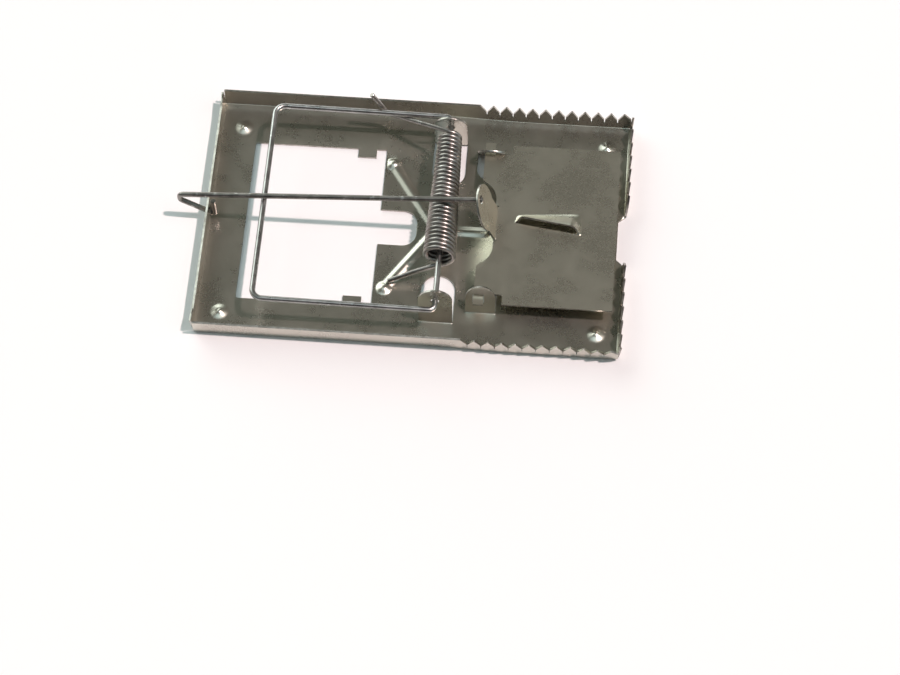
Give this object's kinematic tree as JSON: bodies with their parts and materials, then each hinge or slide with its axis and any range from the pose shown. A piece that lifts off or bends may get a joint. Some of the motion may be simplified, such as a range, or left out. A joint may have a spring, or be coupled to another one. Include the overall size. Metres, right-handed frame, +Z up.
{
  "type": "snap mouse trap",
  "caption": "Sheet-steel snap mouse trap in its set position: toothed base, wire bail with torsion spring, locking rod and treadle.",
  "frame": {"origin": "middle of the whole trap's bounding box, on the base plate's underside", "axes": "+X from the locking rod's bend to the toothed end, +Z up, +Y to the side that the spring's hooked leg is on"},
  "size_m": [0.1076, 0.066, 0.0171],
  "materials": {
    "base_sheet": "bright tinned sheet, slightly tarnished",
    "bail_wire": "drawn spring wire",
    "spring_wire": "drawn spring wire, bright",
    "rod_wire": "drawn wire, dull",
    "treadle_sheet": "bright tinned sheet, slightly tarnished"
  },
  "bodies": {
    "base": {"base_plate": "base_sheet", "torsion_spring": "spring_wire"},
    "bail": {"bail": "bail_wire"},
    "rod": {"locking_rod": "rod_wire"},
    "treadle": {"treadle": "treadle_sheet"}
  },
  "joints": [
    {"name": "bail_swing", "type": "hinge", "parent": "base", "child": "bail", "pos_m": [0.0104, 0, 0.0088], "axis": [0, 1, 0], "range_deg": [0, 181.5], "deforming": ["torsion_spring"]},
    {"name": "rod_lift", "type": "hinge", "parent": "base", "child": "rod", "pos_m": [-0.04569, 0, 0.007], "axis": [0, -1, 0], "range_deg": [0, 65]},
    {"name": "treadle_tilt", "type": "hinge", "parent": "base", "child": "treadle", "pos_m": [0.02025, 0, 0.005], "axis": [0, 1, 0], "range_deg": [0, 7.5]}
  ]
}
